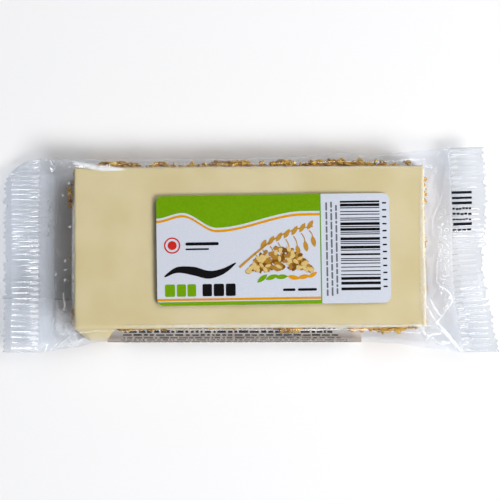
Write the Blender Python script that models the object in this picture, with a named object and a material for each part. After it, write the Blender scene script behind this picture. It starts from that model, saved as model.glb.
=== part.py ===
"""A yogurt-coated oat bar, sealed in a clear flow-wrap pack that carries two paper labels.

The pack lies flat with the coated side up. X runs along the bar, Y across it and Z up, and
the origin is under the middle of the pack, on the surface that it lies on. The sealed pack is
one solid, out to the film: the bar inside can't be reached without opening it.
"""

import math

import bmesh
import bpy
from mathutils import Vector

MM = 0.001

# The bar in the pack, in millimetres
BAR_LENGTH = 122.0
BAR_WIDTH = 56.5
BAR_HEIGHT = 13.0

# Paper labels. Each stands this far off the film, and is this thick
LABEL_GAP = 0.35
LABEL_THICKNESS = 0.30

# The film round the bar
FILM_CLEARANCE = 0.15
FILM_BOTTOM = LABEL_GAP + LABEL_THICKNESS
FILM_TOP = FILM_BOTTOM + BAR_HEIGHT + FILM_CLEARANCE
DOME_RISE = 1.6
FLAT_TOP = BAR_WIDTH / 2 + 0.3
BAR_END = BAR_LENGTH / 2

# How far the loose sides stand out from the middle of the bar, along its length,
# and the height at which each side stands out most
FRONT_REACH = [(-61, 34.2), (-52, 32.3), (40, 32.2), (50, 32.8), (61, 34.4)]
BACK_REACH = [(-61, 31.7), (-10, 31.9), (14, 32.5), (33, 33.7), (41, 33.0), (61, 34.6)]
FRONT_BELLY = 5.5
BACK_BELLY = 8.0

# The end seals: two sheets of film pressed together between crimped jaws
FLAT_WIDTH = 73.3
HALF_FLAT = FLAT_WIDTH / 2
CRIMP_PITCH = 1.98
CRIMP_DEPTH = 0.34
SEAL_LENGTH = 12.8
SEAL_MARGIN = 3.0
SEAL_THICKNESS = 0.6
CUT_TOOTH = 0.5

# The crimps start and end over this length, and fade to this share of their depth beyond
CRIMP_RUN_IN = 0.6
MARGIN_CRIMP = 0.3

# Left seal: it waves a little, and its back corner curls in and down
LEFT_SEAL_X = -73.2
LEFT_SEAL_Z = 5.0
LEFT_SEAL_FRONT = 36.0
LEFT_SEAL_BACK = 32.2
LEFT_WAVE = 0.5
LEFT_WAVE_PITCH = 56.0
CURL_START = 25.0
CURL = Vector((5.6, -1.6, -3.4))

# Right seal, which is buckled: all of it tips up, its middle most, in radians. Its front
# corner swings out, and its back corner in
RIGHT_SEAL_X = 70.6
RIGHT_SEAL_Z = 7.4
RIGHT_SAG = 1.5
RIGHT_SEAL_FRONT = 36.0
RIGHT_SEAL_BACK = 35.9
FRONT_SWING = 4.0
BACK_SWING = -1.0
RIGHT_TIP = 0.16
MIDDLE_TIP = 0.44
TIP_MIDDLE = -7.0
TIP_SPREAD = 16.0

# Between bar and seal the film stays high, then breaks over a crest and drops
CREST_AT = 0.52
CREST_DROP = 0.30

# Mesh: film edges across one sheet, two for each crimp, and places along the bar
SPANS = round(FLAT_WIDTH / (CRIMP_PITCH / 2))
BAR_STATIONS = 15
FINE_RAMP = [0.94, 0.80, 0.66]
COARSE_RAMP = [0.52, 0.34, 0.16]

# Front label, stuck on the film over the coating and slightly turned
FRONT_LABEL_SIZE = (81.1, 38.4)
FRONT_LABEL_MIDDLE = (8.4, -1.1)
FRONT_LABEL_TURN = math.radians(0.9)
FRONT_LABEL_CORNER = 2.2
CORNER_STEPS = 5
FRONT_LABEL_PARTS = (12, 6)

# Back label, stuck under the pack and up to the widest line of its front side
BACK_LABEL_ENDS = (-49.5, 39.2)
BACK_LABEL_BACK = 20.0


def through(points, x):
    """A smooth curve through hand-placed (place, value) points, level at each of them."""
    if x <= points[0][0]:
        return points[0][1]
    for (x0, v0), (x1, v1) in zip(points, points[1:]):
        if x <= x1:
            return v0 + (v1 - v0) * (1 - math.cos(math.pi * (x - x0) / (x1 - x0))) / 2
    return points[-1][1]


def film_top(x, y):
    """Height of the film over the bar: it touches the coating's edges and bows up between them."""
    along = min(1.0, abs(x) / BAR_END)
    across = min(1.0, abs(y) / FLAT_TOP)
    return FILM_TOP + DOME_RISE * (1 - along**4) * (1 - across**4)


def bar_point(x, s, top):
    """The film round the bar. s runs across one flattened sheet, from its front edge to its back."""
    if abs(s) <= FLAT_TOP:
        return Vector((x, s, film_top(x, s) if top else FILM_BOTTOM))
    turn = (abs(s) - FLAT_TOP) / (HALF_FLAT - FLAT_TOP) * math.pi / 2
    reach = through(FRONT_REACH if s < 0 else BACK_REACH, x)
    belly = FRONT_BELLY if s < 0 else BACK_BELLY
    rim = FILM_TOP if top else FILM_BOTTOM
    y = FLAT_TOP + (reach - FLAT_TOP) * math.sin(turn)
    return Vector((x, math.copysign(y, s), belly + (rim - belly) * math.cos(turn)))


def seal_across(s, front, back):
    """Where a point of the flattened film lies across a seal that is drawn in a little."""
    return s / HALF_FLAT * (front if s < 0 else back)


def left_seal_point(out, s):
    """The middle of the left seal, at a distance out from its inner line."""
    share = out / SEAL_LENGTH
    y = seal_across(s, LEFT_SEAL_FRONT, LEFT_SEAL_BACK)
    wave = LEFT_WAVE * math.sin(math.tau * s / LEFT_WAVE_PITCH) * share
    curl = max(0.0, (s - CURL_START) / (HALF_FLAT - CURL_START)) ** 2 * share**1.5
    return Vector((LEFT_SEAL_X - out, y, LEFT_SEAL_Z + wave)) + curl * CURL


def right_seal_point(out, s):
    """The middle of the right seal, at a distance out from its inner line."""
    swing = (FRONT_SWING if s < 0 else BACK_SWING) * (s / HALF_FLAT) ** 2
    tip = RIGHT_TIP + MIDDLE_TIP * math.exp(-(((s - TIP_MIDDLE) / TIP_SPREAD) ** 2))
    y = seal_across(s, RIGHT_SEAL_FRONT, RIGHT_SEAL_BACK)
    sag = RIGHT_SAG * (s / HALF_FLAT) ** 2
    return Vector((RIGHT_SEAL_X + swing + out * math.cos(tip), y, RIGHT_SEAL_Z - sag + out * math.sin(tip)))


def crimp(edge):
    """The zigzag of the jaws: up and down at every other film edge, and none at the two rims."""
    if edge in (0, SPANS):
        return 0.0
    return CRIMP_DEPTH if edge % 2 else -CRIMP_DEPTH


def seal_row(side, out, pressed):
    """One closed row of film points round a seal: the top sheet, then the bottom one."""
    place = left_seal_point if side < 0 else right_seal_point
    row = []
    for top, edges in ((True, range(SPANS)), (False, range(SPANS, 0, -1))):
        for edge in edges:
            s = -HALF_FLAT + FLAT_WIDTH * edge / SPANS
            tooth = CUT_TOOTH if out >= SEAL_LENGTH and edge % 2 else 0.0
            point = place(out - tooth, s)
            apart = 0.0 if edge in (0, SPANS) else SEAL_THICKNESS / 2
            point.z += (apart if top else -apart) + pressed * crimp(edge)
            row.append(point)
    return row


def ramp_row(side, share):
    """One closed row between the bar's end, at share 0, and the seal's inner line, at share 1."""
    if share < CREST_AT:
        drop = CREST_DROP * share / CREST_AT
    else:
        drop = CREST_DROP + (1 - CREST_DROP) * (share - CREST_AT) / (1 - CREST_AT)
    seal = seal_row(side, 0.0, 0.0)
    row = []
    for index, end in enumerate(seal):
        top = index < SPANS
        edge = index if top else 2 * SPANS - index
        s = -HALF_FLAT + FLAT_WIDTH * edge / SPANS
        start = bar_point(side * BAR_END, s, top)
        point = start.lerp(end, share)
        if top:
            point.z = start.z + (end.z - start.z) * drop
        row.append(point)
    return row


def bar_row(x):
    """One closed row of film points round the bar."""
    row = []
    for top, edges in ((True, range(SPANS)), (False, range(SPANS, 0, -1))):
        for edge in edges:
            row.append(bar_point(x, -HALF_FLAT + FLAT_WIDTH * edge / SPANS, top))
    return row


def end_rows(side):
    """(row, is coarse) from the seal's cut edge inwards to the bar."""
    crimped = SEAL_LENGTH - SEAL_MARGIN
    rows = [(seal_row(side, SEAL_LENGTH, MARGIN_CRIMP), False)]
    rows += [(seal_row(side, crimped + CRIMP_RUN_IN, MARGIN_CRIMP), False)]
    rows += [(seal_row(side, out, 1.0), False) for out in (crimped, CRIMP_RUN_IN)]
    rows += [(seal_row(side, 0.0, 0.0), False)]
    rows += [(ramp_row(side, share), False) for share in FINE_RAMP]
    rows += [(ramp_row(side, share), True) for share in COARSE_RAMP]
    return rows


def film_rows():
    """All the rows of the pack, from the left cut edge to the right one."""
    step = BAR_LENGTH / (BAR_STATIONS - 1)
    middle = [(bar_row(-BAR_END + step * i), True) for i in range(BAR_STATIONS)]
    return end_rows(-1) + middle + end_rows(1)[::-1]


def skin(mesh, rows):
    """Joins each row to the next. Where a fine row meets a coarse one, three triangles take up the step."""
    rings = [[mesh.verts.new(p * MM) for p in (row[::2] if coarse else row)] for row, coarse in rows]
    for left, right in zip(rings, rings[1:]):
        if len(left) == len(right):
            for i in range(len(left)):
                j = (i + 1) % len(left)
                mesh.faces.new((left[i], left[j], right[j], right[i]))
            continue
        fine, coarse = (left, right) if len(left) > len(right) else (right, left)
        for i in range(len(coarse)):
            j = (i + 1) % len(coarse)
            a, b, c = fine[2 * i], fine[2 * i + 1], fine[(2 * i + 2) % len(fine)]
            for corners in ((a, b, coarse[i]), (b, c, coarse[j]), (b, coarse[j], coarse[i])):
                mesh.faces.new(corners)
    for ring in (rings[0], rings[-1]):
        close_cut_edge(mesh, ring)


def close_cut_edge(mesh, ring):
    """Faces between the two sheets at a seal's cut edge."""
    top = ring[: SPANS + 1]
    bottom = [ring[0]] + ring[:SPANS:-1] + [ring[SPANS]]
    mesh.faces.new((top[0], top[1], bottom[1]))
    mesh.faces.new((top[-1], top[-2], bottom[-2]))
    for i in range(1, SPANS - 1):
        mesh.faces.new((top[i], top[i + 1], bottom[i + 1], bottom[i]))


def finish(name, mesh, colour, roughness):
    """Makes the named object, with its faces pointing out and its own material."""
    bmesh.ops.recalc_face_normals(mesh, faces=mesh.faces)
    bmesh.ops.triangulate(mesh, faces=mesh.faces)
    data = bpy.data.meshes.new(name)
    mesh.to_mesh(data)
    mesh.free()
    material = bpy.data.materials.new(name)
    material.use_nodes = True
    surface = material.node_tree.nodes["Principled BSDF"]
    surface.inputs["Base Color"].default_value = (*colour, 1.0)
    surface.inputs["Roughness"].default_value = roughness
    surface.inputs["Metallic"].default_value = 0.0
    data.materials.append(material)
    piece = bpy.data.objects.new(name, data)
    bpy.context.scene.collection.objects.link(piece)
    return piece


def film_wrapper():
    """The sealed pack, out to its film: the cream coating shows through, so it takes that colour."""
    mesh = bmesh.new()
    skin(mesh, film_rows())
    return finish("film_wrapper", mesh, (0.64, 0.53, 0.31), 0.25)


def rounded_outline(size, corner):
    """Corners of a flat rectangle with round corners, centred on the origin."""
    points = []
    for quarter, (sx, sy) in enumerate(((1, 1), (-1, 1), (-1, -1), (1, -1))):
        middle = Vector((sx * (size[0] / 2 - corner), sy * (size[1] / 2 - corner), 0))
        for step in range(CORNER_STEPS + 1):
            angle = math.pi / 2 * (quarter + step / CORNER_STEPS)
            points.append(middle + corner * Vector((math.cos(angle), math.sin(angle), 0)))
    return points


def front_label():
    """The printed paper label, which follows the bowed film just above it."""
    mesh = bmesh.new()
    mesh.faces.new([mesh.verts.new(p) for p in rounded_outline(FRONT_LABEL_SIZE, FRONT_LABEL_CORNER)])
    for axis, parts in enumerate(FRONT_LABEL_PARTS):
        for cut in range(1, parts):
            place = FRONT_LABEL_SIZE[axis] * (cut / parts - 0.5)
            at = Vector((place, 0, 0)) if axis == 0 else Vector((0, place, 0))
            along = Vector((1, 0, 0)) if axis == 0 else Vector((0, 1, 0))
            geometry = mesh.verts[:] + mesh.edges[:] + mesh.faces[:]
            bmesh.ops.bisect_plane(mesh, geom=geometry, plane_co=at, plane_no=along)
    cos, sin = math.cos(FRONT_LABEL_TURN), math.sin(FRONT_LABEL_TURN)
    for vert in mesh.verts:
        x = FRONT_LABEL_MIDDLE[0] + cos * vert.co.x - sin * vert.co.y
        y = FRONT_LABEL_MIDDLE[1] + sin * vert.co.x + cos * vert.co.y
        vert.co = Vector((x, y, film_top(x, y) + LABEL_GAP)) * MM
    made = bmesh.ops.extrude_face_region(mesh, geom=mesh.faces[:])
    raised = [g for g in made["geom"] if isinstance(g, bmesh.types.BMVert)]
    bmesh.ops.translate(mesh, verts=raised, vec=Vector((0, 0, LABEL_THICKNESS)) * MM)
    return finish("front_label", mesh, (0.80, 0.83, 0.88), 0.45)


def label_profile(x):
    """(point, outward normal) pairs along the back label: under the pack, and up to its front belly."""
    across = [-HALF_FLAT + FLAT_WIDTH * edge / SPANS for edge in range(0, SPANS + 1, 2)]
    points = [bar_point(x, s, False) for s in across[::-1] if s <= BACK_LABEL_BACK]
    found = []
    for i, point in enumerate(points):
        run = points[min(i + 1, len(points) - 1)] - points[max(i - 1, 0)]
        found.append((point, Vector((0, -run.z, run.y)).normalized()))
    return found


def back_label():
    """The second paper label, a thin bent shell that stands off the film by the label gap."""
    mesh = bmesh.new()
    step = BAR_LENGTH / (BAR_STATIONS - 1)
    inside = [-BAR_END + step * i for i in range(BAR_STATIONS)]
    left, right = BACK_LABEL_ENDS
    places = [left] + [x for x in inside if left + 1 < x < right - 1] + [right]
    layers = []
    for off in (LABEL_GAP, LABEL_GAP + LABEL_THICKNESS):
        layers.append([[mesh.verts.new((p + n * off) * MM) for p, n in label_profile(x)] for x in places])
    inner, outer = layers
    for layer in layers:
        for a, b in zip(layer, layer[1:]):
            for i in range(len(a) - 1):
                mesh.faces.new((a[i], a[i + 1], b[i + 1], b[i]))
    for end in (0, -1):
        for i in range(len(inner[end]) - 1):
            corners = (inner[end][i], inner[end][i + 1], outer[end][i + 1], outer[end][i])
            mesh.faces.new(corners)
    for rim in (0, -1):
        for i in range(len(places) - 1):
            corners = (inner[i][rim], inner[i + 1][rim], outer[i + 1][rim], outer[i][rim])
            mesh.faces.new(corners)
    return finish("back_label", mesh, (0.58, 0.55, 0.52), 0.5)


def centre(pieces):
    """Moves the whole pack so that the middle of its box is over the origin."""
    corners = [v.co for piece in pieces for v in piece.data.vertices]
    low = [min(c[axis] for c in corners) for axis in range(3)]
    high = [max(c[axis] for c in corners) for axis in range(3)]
    shift = Vector((-(low[0] + high[0]) / 2, -(low[1] + high[1]) / 2, -low[2]))
    for piece in pieces:
        for vert in piece.data.vertices:
            vert.co += shift


def main():
    for old in list(bpy.data.objects):
        bpy.data.objects.remove(old)
    centre([film_wrapper(), front_label(), back_label()])


main()
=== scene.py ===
"""Looks of the yogurt-coated oat bar in its clear flow-wrap pack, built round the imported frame."""

import math
import random

import bpy
from mathutils import Euler, Matrix, Vector, noise


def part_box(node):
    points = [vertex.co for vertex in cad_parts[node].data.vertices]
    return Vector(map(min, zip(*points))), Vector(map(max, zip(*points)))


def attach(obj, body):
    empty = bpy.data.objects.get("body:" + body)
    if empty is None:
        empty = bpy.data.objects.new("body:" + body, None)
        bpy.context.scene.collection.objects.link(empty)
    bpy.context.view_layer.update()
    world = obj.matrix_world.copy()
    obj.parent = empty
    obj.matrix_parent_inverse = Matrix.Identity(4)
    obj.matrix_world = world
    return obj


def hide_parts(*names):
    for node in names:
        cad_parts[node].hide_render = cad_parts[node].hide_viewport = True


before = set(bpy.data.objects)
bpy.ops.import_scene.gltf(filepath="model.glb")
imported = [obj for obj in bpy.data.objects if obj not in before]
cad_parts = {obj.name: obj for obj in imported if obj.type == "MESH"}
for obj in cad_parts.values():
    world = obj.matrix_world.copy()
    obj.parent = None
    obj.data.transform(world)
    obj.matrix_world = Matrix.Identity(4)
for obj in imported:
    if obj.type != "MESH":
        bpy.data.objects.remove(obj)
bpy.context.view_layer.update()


# Oat slab
# Rolled oats, syrup and fat pressed into a tray, baked and sawn into slabs. The tray side is flat,
# and the cut sides break out in lumps, most of all at the back. Its own colour shows between flakes.
MM = 0.001
BAR_LENGTH = 122.0
BAR_WIDTH = 56.5
BAR_HEIGHT = 13.0
BAR_TURN = math.radians(0.45)
COATING_DEPTH = 1.9
FILM_BOTTOM = 0.65
BAR_BOTTOM = FILM_BOTTOM + 0.12
LABEL_FROM_BAR = Vector((8.4, -1.1))
BACK_LUMPS = ((-49.0, 4.2, 3.0), (-42.0, 3.6, 2.2), (-30.3, 4.0, 2.5), (-20.0, 3.0, 1.3), (-10.5, 4.4, 2.7),
              (-2.0, 5.0, 2.9), (11.5, 4.0, 3.0), (23.0, 4.4, 2.7), (30.5, 4.0, 2.4), (38.0, 4.2, 2.3),
              (49.0, 6.0, 0.7))
BACK_SWELL = 0.7
SLAB_INSET = 1.6
SLAB_ROUND = 0.9
SLAB_GRID = 1.0
FRONT_RECESS = 1.3
FRONT_LUMPS = ((-43.5, 2.6, 1.5), (-35.0, 7.0, 0.9), (14.0, 5.0, 2.3), (37.5, 2.6, 2.2), (47.5, 6.5, 2.6),
               (57.0, 3.0, 1.0))
LEFT_LUMPS = ((16.5, 3.2, 1.7), (-14.0, 2.0, 0.8), (-24.0, 3.5, 0.9))
RIGHT_LUMPS = ((17.5, 1.6, 1.0), (3.0, 1.6, 0.5), (-16.0, 3.0, 0.5))

label_low, label_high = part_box("front_label")
BAR_X = (label_low[0] + label_high[0]) / 2 / MM - LABEL_FROM_BAR.x
BAR_Y = (label_low[1] + label_high[1]) / 2 / MM - LABEL_FROM_BAR.y


def linear(colour):
    """An sRGB hex colour as linear RGBA."""
    channels = [int(colour[i:i + 2], 16) / 255 for i in (0, 2, 4)]
    return [c / 12.92 if c <= 0.04045 else ((c + 0.055) / 1.055) ** 2.4 for c in channels] + [1.0]


def add_node(tree, kind, links=None, **settings):
    """Adds a node. links maps its sockets to values, or to the sockets of other nodes."""
    node = tree.nodes.new(kind)
    for name, value in settings.items():
        setattr(node, name, value)
    for socket, value in (links or {}).items():
        if isinstance(value, bpy.types.NodeSocket):
            tree.links.new(value, node.inputs[socket])
        else:
            node.inputs[socket].default_value = value
    return node


def start_material(name, **surface):
    """A new material with its node tree and its Principled surface, set from sockets' names."""
    material = bpy.data.materials.new(name)
    material.use_nodes = True
    tree = material.node_tree
    principled = tree.nodes["Principled BSDF"]
    for socket, value in surface.items():
        principled.inputs[socket.replace("_", " ")].default_value = value
    return material, tree, principled


def shades(tree, factor, stops):
    """A colour ramp from (place, sRGB hex) stops."""
    ramp = add_node(tree, "ShaderNodeValToRGB", {"Fac": factor})
    ramp.color_ramp.elements.remove(ramp.color_ramp.elements[1])
    ramp.color_ramp.elements[0].position = stops[0][0]
    ramp.color_ramp.elements[0].color = linear(stops[0][1])
    for place, colour in stops[1:]:
        ramp.color_ramp.elements.new(place).color = linear(colour)
    return ramp.outputs["Color"]


def grained(name, grains, stops, bump=None, mixed=False, **surface):
    """A material from noise. The first grain, its size in millimetres and its detail, colours it, or
    both do if mixed. The last is its relief, where bump gives a depth in millimetres and a strength."""
    material, tree, principled = start_material(name, **surface)
    coords = add_node(tree, "ShaderNodeTexCoord").outputs["Object"]
    fields = []
    for size, detail in grains:
        field = add_node(tree, "ShaderNodeTexNoise",
                         {"Vector": coords, "Scale": 1 / (size * MM), "Detail": detail})
        fields.append(field.outputs["Fac"])
    factor = fields[0]
    if mixed:
        total = add_node(tree, "ShaderNodeMath", {0: fields[0], 1: fields[1]}, operation="ADD")
        factor = add_node(tree, "ShaderNodeMath", {0: total.outputs[0], 1: 0.5},
                          operation="MULTIPLY").outputs[0]
    tree.links.new(shades(tree, factor, stops), principled.inputs["Base Color"])
    if bump:
        relief = add_node(tree, "ShaderNodeBump",
                          {"Height": fields[-1], "Distance": bump[0] * MM, "Strength": bump[1]})
        tree.links.new(relief.outputs["Normal"], principled.inputs["Normal"])
    return material


def only(piece=None):
    """Deselects everything, then selects the piece and makes it active."""
    for thing in bpy.context.selected_objects:
        thing.select_set(False)
    if piece:
        piece.select_set(True)
        bpy.context.view_layer.objects.active = piece


def take_modifiers(piece):
    """Applies the piece's modifiers in order."""
    only(piece)
    for modifier in list(piece.modifiers):
        bpy.ops.object.modifier_apply(modifier=modifier.name)


def finish_piece(piece, name, material):
    """Gives a finished mesh its name, its only material and its body."""
    piece.name = name
    piece.data.name = name
    piece.data.materials.clear()
    piece.data.materials.append(material)
    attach(piece, "root")


def in_pack(point):
    """A point of the bar, in millimetres from the middle of its underside, as it lies in the pack."""
    turned = Matrix.Rotation(BAR_TURN, 3, "Z") @ point
    return Vector((turned.x + BAR_X, turned.y + BAR_Y, turned.z + BAR_BOTTOM)) * MM


def lumps(place, side):
    """How far the lumps of a side stand out at a place along it, in millimetres."""
    return sum(height * math.exp(-(((place - at) / width) ** 2)) for at, width, height in side)


def side_bulge(x, y, z):
    """How far the slab's own surface stands out of its sawn sides, below the coating."""
    deep = max(0.0, min(1.0, (SLAB_HEIGHT - z) / 2.5))
    low = 0.65 + 0.35 * math.sin(math.pi * min(1.0, max(0.0, z / SLAB_HEIGHT)))
    out = Vector((0.0, 0.0, 0.0))
    if y > BAR_WIDTH / 2 - 3:
        out.y = BACK_SWELL + lumps(x, BACK_LUMPS)
    if y < 3 - BAR_WIDTH / 2:
        out.y = FRONT_RECESS - lumps(x, FRONT_LUMPS)
    if abs(x) > BAR_LENGTH / 2 - 3:
        out.x = math.copysign(lumps(y, RIGHT_LUMPS if x > 0 else LEFT_LUMPS), x)
    return out * low * (0.7 + 0.3 * deep)


SLAB_HEIGHT = BAR_HEIGHT - COATING_DEPTH

only()
bpy.ops.mesh.primitive_cube_add(size=MM, location=(0, 0, SLAB_HEIGHT / 2 * MM))
slab = bpy.context.object
slab.scale = (BAR_LENGTH - SLAB_INSET, BAR_WIDTH - SLAB_INSET, SLAB_HEIGHT)
bpy.ops.object.transform_apply(location=True, rotation=False, scale=True)
bpy.ops.object.mode_set(mode="EDIT")
bpy.ops.mesh.select_all(action="SELECT")
bpy.ops.mesh.bevel(offset=SLAB_ROUND * MM, segments=2)
bpy.ops.object.mode_set(mode="OBJECT")
remesh = slab.modifiers.new("Even grid", "REMESH")
remesh.mode = "VOXEL"
remesh.voxel_size = SLAB_GRID * MM
take_modifiers(slab)
for vertex in slab.data.vertices:
    x, y, z = vertex.co / MM
    coarse = noise.noise(Vector((x, y, z)) / 3.2)
    fine = noise.noise(Vector((x + 40, y, z)) / 1.3)
    rough = vertex.normal * (0.55 * coarse + 0.3 * fine - 0.25)
    if z > SLAB_HEIGHT - 0.8:
        rough *= 0.2
    vertex.co = in_pack(Vector((x, y, z)) + rough + side_bulge(x, y, z))
only(slab)
bpy.ops.object.shade_smooth()

# Baked oat crumb: bound with syrup, so it is dull with a faint gloss, and darker and paler in random
# patches.
oat_crumb = grained("baked_oat_crumb", ((2.6, 3.0), (0.5, 2.0)),
                    ((0.30, "7C4C00"), (0.48, "B27C00"), (0.60, "D6A212"), (0.75, "EECE62")),
                    bump=(0.25, 0.6), Roughness=0.62, IOR=1.45)
finish_piece(slab, "oat_slab", oat_crumb)


# Rolled oat flakes
# Whole oats that were steamed and rolled flat, about 4 mm long with a crease down the middle. They
# are pressed into every face of the slab that has no coating, and stand up most at the sawn sides.
FLAKE_LENGTH = 4.2
FLAKE_WIDTH = 2.9
FLAKE_THICKNESS = 0.75
SIDE_FLAKES = 1080
UNDER_FLAKES = 760
SIDE_LEAN = 0.5
UNDER_LEAN = 0.06
COAT_UNDER = BAR_HEIGHT - 0.7

only()
bpy.ops.mesh.primitive_uv_sphere_add(segments=8, ring_count=4, radius=0.5)
flake = bpy.context.object
for vertex in flake.data.vertices:
    x, y, z = vertex.co
    crease = 0.28 * math.exp(-((y / 0.12) ** 2)) * (1 if z > 0 else 0)
    vertex.co = Vector((x * FLAKE_LENGTH, y * FLAKE_WIDTH * (1 - 0.25 * x), (z - crease) * FLAKE_THICKNESS))


def joined_copies(model, places, low=-1.0, high=1.0):
    """One mesh with a copy of the model at each place, a matrix, flattened where it leaves low to high."""
    points = [place @ v.co for place in places for v in model.data.vertices]
    points = [(p.x, p.y, max(low, min(high, p.z))) for p in points]
    step = len(model.data.vertices)
    faces = [[i + step * n for i in p.vertices] for n in range(len(places)) for p in model.data.polygons]
    mesh = bpy.data.meshes.new(model.name)
    mesh.from_pydata(points, [], faces)
    piece = bpy.data.objects.new(model.name, mesh)
    bpy.context.scene.collection.objects.link(piece)
    bpy.data.objects.remove(model)
    only(piece)
    bpy.ops.object.shade_smooth()
    return piece


def pressed_flat(point, out, lean, size, draw):
    """Where one flake lies: its flat side faces out, give or take the lean, at the size given."""
    facing = out.to_track_quat("Z", "Y").to_matrix().to_4x4()
    spin = Euler((draw.gauss(0, lean), draw.gauss(0, lean), draw.uniform(0, math.tau))).to_matrix().to_4x4()
    stretch = Matrix.Diagonal((size * draw.uniform(0.75, 1.15), size * draw.uniform(0.75, 1.1), size, 1))
    return Matrix.Translation(in_pack(point)) @ facing @ spin @ stretch @ Matrix.Scale(MM, 4)


draw = random.Random(41)
places = []
ends_share = BAR_WIDTH / (BAR_LENGTH + BAR_WIDTH)
for _ in range(SIDE_FLAKES):
    z = draw.uniform(0.8, SLAB_HEIGHT - 0.2)
    sign = draw.choice((-1, 1))
    if draw.random() < ends_share:
        point = Vector((sign * (BAR_LENGTH / 2 - 1.0), draw.uniform(-0.5, 0.5) * (BAR_WIDTH - 3), z))
        out = Vector((sign, 0, 0))
    else:
        point = Vector((draw.uniform(-0.5, 0.5) * (BAR_LENGTH - 3), sign * (BAR_WIDTH / 2 - 1.0), z))
        out = Vector((0, sign, 0))
    point += side_bulge(*point) + out * draw.uniform(-0.2, 0.45)
    places.append(pressed_flat(point, out, SIDE_LEAN, draw.uniform(0.6, 1.05), draw))
for _ in range(UNDER_FLAKES):
    x = draw.uniform(-0.5, 0.5) * (BAR_LENGTH - 4)
    y = draw.uniform(-0.5, 0.5) * (BAR_WIDTH - 4)
    point, out = Vector((x, y, 0.35)), Vector((0, 0, -1))
    places.append(pressed_flat(point, out, UNDER_LEAN, draw.uniform(0.7, 1.1), draw))
flakes = joined_copies(flake, places, BAR_BOTTOM * MM, (BAR_BOTTOM + COAT_UNDER) * MM)

# Toasted oat flake: pale and mealy in the middle, browner where it baked, with bran streaks along it.
toasted = grained("toasted_oat_flake", ((3.4, 1.0), (0.35, 3.0)),
                  ((0.36, "945E00"), (0.46, "C28C00"), (0.55, "E2B01C"), (0.66, "F6DF84")),
                  bump=(0.12, 0.5), mixed=True, Roughness=0.7, IOR=1.45)
finish_piece(flakes, "oat_flakes", toasted)


# Yogurt coating
# A cream yogurt-flavoured coating, curtain-poured on the slab while warm and set in a skin about
# 2 mm thick. It rounds over the edges, stops unevenly just below them, and ran down at one corner.
COAT_ROUND = 0.9
COAT_SKIRT = 2.3
COAT_WALL = 1.5
COAT_TOP = BAR_HEIGHT
RUN_PLACE = -52.8
RUN_HALF_TOP = (8.4, 6.2)
RUN_HALF_TIP = 2.9
RUN_LENGTH = 12.5
RUN_FLARE = 3.0
END_SLUMP = 0.25
TOP_CELLS = (122, 58)
SKIRT_CELLS = 14


def smooth(value):
    """Eases 0 to 1 in and out, and holds outside that."""
    value = max(0.0, min(1.0, value))
    return value * value * (3 - 2 * value)


def along_axis(index, cells, inner):
    """(place on the flat top, share of the skirt) for one line of the coating's grid."""
    if index < SKIRT_CELLS:
        return -inner, (index - SKIRT_CELLS) / SKIRT_CELLS
    if index > SKIRT_CELLS + cells:
        return inner, (index - SKIRT_CELLS - cells) / SKIRT_CELLS
    return inner * (2 * (index - SKIRT_CELLS) / cells - 1), 0.0


def run_share(x, y):
    """1 in the middle of the run at the front left, easing to 0 at its sides."""
    if y > -BAR_WIDTH / 4:
        return 0.0
    half_top = RUN_HALF_TOP[0 if x < RUN_PLACE else 1]
    away = abs(x - RUN_PLACE) + 0.8 * noise.noise(Vector((x / 1.1, 2, 4)))
    return max(0.0, min(1.0, (half_top - away) / (half_top - RUN_HALF_TIP)))


def coat_point(i, j):
    """A point of the coating's skin, for line i along the bar and line j across it."""
    inner = (BAR_LENGTH / 2 - COAT_ROUND, BAR_WIDTH / 2 - COAT_ROUND)
    x, past_x = along_axis(i, TOP_CELLS[0], inner[0])
    y, past_y = along_axis(j, TOP_CELLS[1], inner[1])
    swell = 0.10 * noise.noise(Vector((x, y, 3)) / 17) + 0.035 * noise.noise(Vector((x, y, 9)) / 5)
    share = max(abs(past_x), abs(past_y))
    if share == 0:
        return Vector((x, y, COAT_TOP + swell))
    way = Vector((past_x, past_y)).normalized()
    ragged = 0.75 * noise.noise(Vector((x, y, 0)) / 4.5) + 0.35 * noise.noise(Vector((x, y, 5)) / 1.7)
    run = run_share(x, y)
    length = (COAT_SKIRT + ragged) * (1 - run) + RUN_LENGTH * run
    down = share * length
    quarter = COAT_ROUND * math.pi / 2
    if down < quarter:
        out = COAT_ROUND * math.sin(down / COAT_ROUND)
        drop = COAT_ROUND * (1 - math.cos(down / COAT_ROUND))
    else:
        out = COAT_ROUND
        drop = COAT_ROUND + down - quarter
    slump = END_SLUMP * smooth((-y + 20) / 40) * smooth(drop / 1.6) if past_x > 0 else 0.0
    out += 0.16 * noise.noise(Vector((x, y, 7)) / 6) + slump
    out += RUN_FLARE * run * smooth(drop / 8)
    return Vector((x + way.x * out, y + way.y * out, COAT_TOP + swell - drop))


def flat_grid(columns, rows, size=2):
    """A new flat grid of so many cells, size units square."""
    only()
    bpy.ops.mesh.primitive_grid_add(x_subdivisions=columns, y_subdivisions=rows, size=size)
    return bpy.context.object


def thicken(piece, thickness):
    """Gives a skin a thickness in millimetres, to its inside."""
    wall = piece.modifiers.new("Thickness", "SOLIDIFY")
    wall.thickness = thickness * MM
    wall.offset = -1.0
    take_modifiers(piece)


cells = [count + 2 * SKIRT_CELLS for count in TOP_CELLS]
coating = flat_grid(*cells)
for vertex in coating.data.vertices:
    i = round((vertex.co.x + 1) / 2 * cells[0])
    j = round((vertex.co.y + 1) / 2 * cells[1])
    vertex.co = in_pack(coat_point(i, j))
thicken(coating, COAT_WALL)
bpy.ops.object.shade_smooth()

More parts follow.
